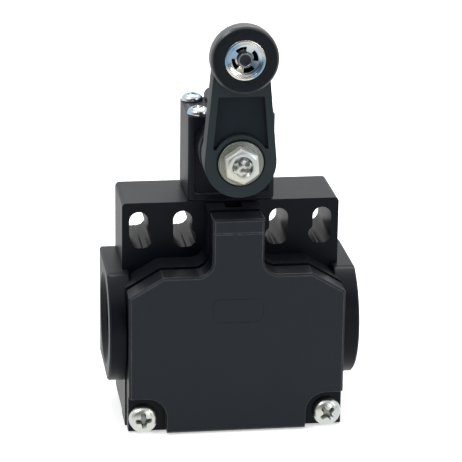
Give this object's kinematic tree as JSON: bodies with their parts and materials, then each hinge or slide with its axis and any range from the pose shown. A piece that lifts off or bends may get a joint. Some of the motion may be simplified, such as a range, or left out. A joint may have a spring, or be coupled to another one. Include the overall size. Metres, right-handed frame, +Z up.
{
  "type": "limit switch",
  "caption": "Wide plastic limit switch with a roller lever, a T-shaped cover, a cable entry in each side and a contact block inside.",
  "frame": {"origin": "on the rear mounting face, midway between the fixing slots' upper centres", "axes": "+Z up towards the roller, -Y out of the front cover, +X to the right seen from the front"},
  "size_m": [0.057, 0.0357, 0.0959],
  "materials": {
    "housing_plastic": "fine moulded texture, near black",
    "lever_plastic": "smooth moulded, near black",
    "tyre_plastic": "smooth turned, black",
    "carrier_plastic": "moulded grey",
    "slide_plastic": "moulded natural",
    "zinc": "bright zinc plate",
    "steel": "bright steel",
    "dark_steel": "oiled dark steel",
    "bronze": "plain bronze",
    "silver": "silver contact metal",
    "rubber": "matte black rubber"
  },
  "bodies": {
    "base": {"housing": "housing_plastic", "cover": "housing_plastic", "actuator_head": "housing_plastic", "cover_seal": "rubber", "head_gasket": "rubber", "shaft_seal": "rubber", "contact_carrier": "carrier_plastic", "shaft_bush": "bronze", "plunger_guide": "bronze", "return_spring": "steel", "contact_spring": "steel", "cover_screw_left": "zinc", "cover_screw_right": "zinc", "head_screw_front_left": "zinc", "head_screw_front_right": "zinc", "head_screw_rear_left": "zinc", "head_screw_rear_right": "zinc", "carrier_screw_left": "zinc", "carrier_screw_right": "zinc", "terminal_strip_nc_left": "bronze", "terminal_clamp_nc_left": "zinc", "terminal_screw_nc_left": "steel", "terminal_strip_nc_right": "bronze", "terminal_clamp_nc_right": "zinc", "terminal_screw_nc_right": "steel", "terminal_strip_no_left": "bronze", "terminal_clamp_no_left": "zinc", "terminal_screw_no_left": "steel", "terminal_strip_no_right": "bronze", "terminal_clamp_no_right": "zinc", "terminal_screw_no_right": "steel"},
    "lever": {"lever_arm": "lever_plastic", "lever_shaft": "steel", "lever_washer": "zinc", "lever_bolt": "zinc", "roller_pin": "dark_steel"},
    "roller": {"roller_tyre": "tyre_plastic", "roller_hub": "zinc"},
    "plunger": {"head_plunger": "slide_plastic"},
    "contact_slide": {"contact_plunger": "slide_plastic", "bridge_nc": "silver", "bridge_no": "silver"}
  },
  "joints": [
    {"name": "lever_swing", "type": "hinge", "parent": "base", "child": "lever", "pos_m": [0, 0, 0.0173], "axis": [0, 1, 0], "range_deg": [-75, 75], "stiffness_Nm_per_rad": 0.12},
    {"name": "roller_spin", "type": "hinge", "parent": "lever", "child": "roller", "pos_m": [0, 0, 0.0415], "axis": [0, 1, 0], "continuous": true},
    {"name": "plunger_travel", "type": "slide", "parent": "base", "child": "plunger", "axis": [0, 0, -1], "range_m": [0, 0.0024], "stiffness_N_per_m": 400, "springref_m": -0.002, "deforming": ["return_spring"]},
    {"name": "contact_travel", "type": "slide", "parent": "base", "child": "contact_slide", "axis": [0, 0, -1], "range_m": [0, 0.0024], "stiffness_N_per_m": 200, "springref_m": -0.002, "deforming": ["contact_spring"]}
  ],
  "couplings": [
    {"joint": "contact_travel", "follows": "plunger_travel", "ratio": 1}
  ]
}
